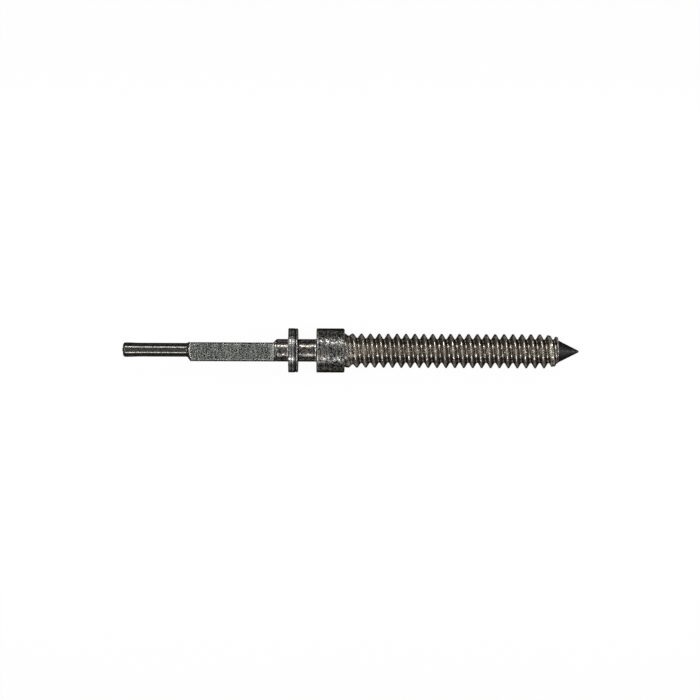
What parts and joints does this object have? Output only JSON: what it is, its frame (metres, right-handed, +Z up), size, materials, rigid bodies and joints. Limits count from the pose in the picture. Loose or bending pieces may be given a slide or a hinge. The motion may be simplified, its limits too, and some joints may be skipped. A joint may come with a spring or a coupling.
{
  "type": "watch stem",
  "caption": "Slim steel winding stem: smooth pilot, milled square, round seat, flange and groove for a lever pin, thick hub, and a long right-hand thread ending in a blunt cone.",
  "frame": {"origin": "on the stem's axis, midway along the setting lever's groove", "axes": "+X along the stem's axis from the pilot to the point; +Z up as the stem lies on a bench, square to the front flat of the square; +Y completes the frame"},
  "size_m": [0.0116, 0.0012, 0.0012],
  "materials": {
    "turned_steel": "fine turned steel, dark, lightly burnished",
    "milled_steel": "milled steel flats with fine cross marks",
    "thread_steel": "die-cut steel with rough flanks",
    "ground_steel": "dark turned cone, ground to a blunt tip"
  },
  "bodies": {
    "root": {"pilot": "turned_steel", "square": "milled_steel", "pinion_seat": "turned_steel", "lever_flange": "turned_steel", "lever_groove": "turned_steel", "hub": "turned_steel", "thread": "thread_steel", "point": "ground_steel"}
  },
  "joints": []
}
